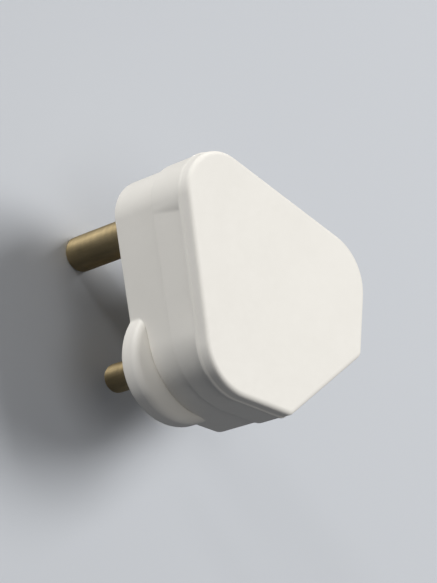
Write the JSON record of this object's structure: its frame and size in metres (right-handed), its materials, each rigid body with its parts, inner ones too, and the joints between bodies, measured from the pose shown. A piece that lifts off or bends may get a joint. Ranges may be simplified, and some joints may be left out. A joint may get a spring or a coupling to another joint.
{
  "type": "three-pin plug",
  "caption": "Rewirable mains plug with round brass pins, a white moulded base with finger guards, and a lipped cover with finger grips.",
  "frame": {"origin": "on the engagement face, midway between the line and neutral pins", "axes": "+Z out of the cover, pins along -Z, +Y from the origin to the earth pin, cord leaving at -Y"},
  "size_m": [0.0602, 0.0617, 0.0575],
  "materials": {
    "moulding": "satin moulded",
    "brass": "dull turned",
    "screw_steel": "plated",
    "fibre": "pressed fibre"
  },
  "bodies": {
    "root": {"base": "moulding", "cover": "moulding", "earth_pin": "brass", "line_pin": "brass", "neutral_pin": "brass", "earth_terminal_screw": "brass", "line_terminal_screw": "brass", "neutral_terminal_screw": "brass", "cover_nut": "brass", "cover_screw": "screw_steel", "cord_grip_screw_left": "screw_steel", "cord_grip_screw_right": "screw_steel", "cover_screw_washer": "fibre", "cord_grip_bar": "fibre"}
  },
  "joints": []
}
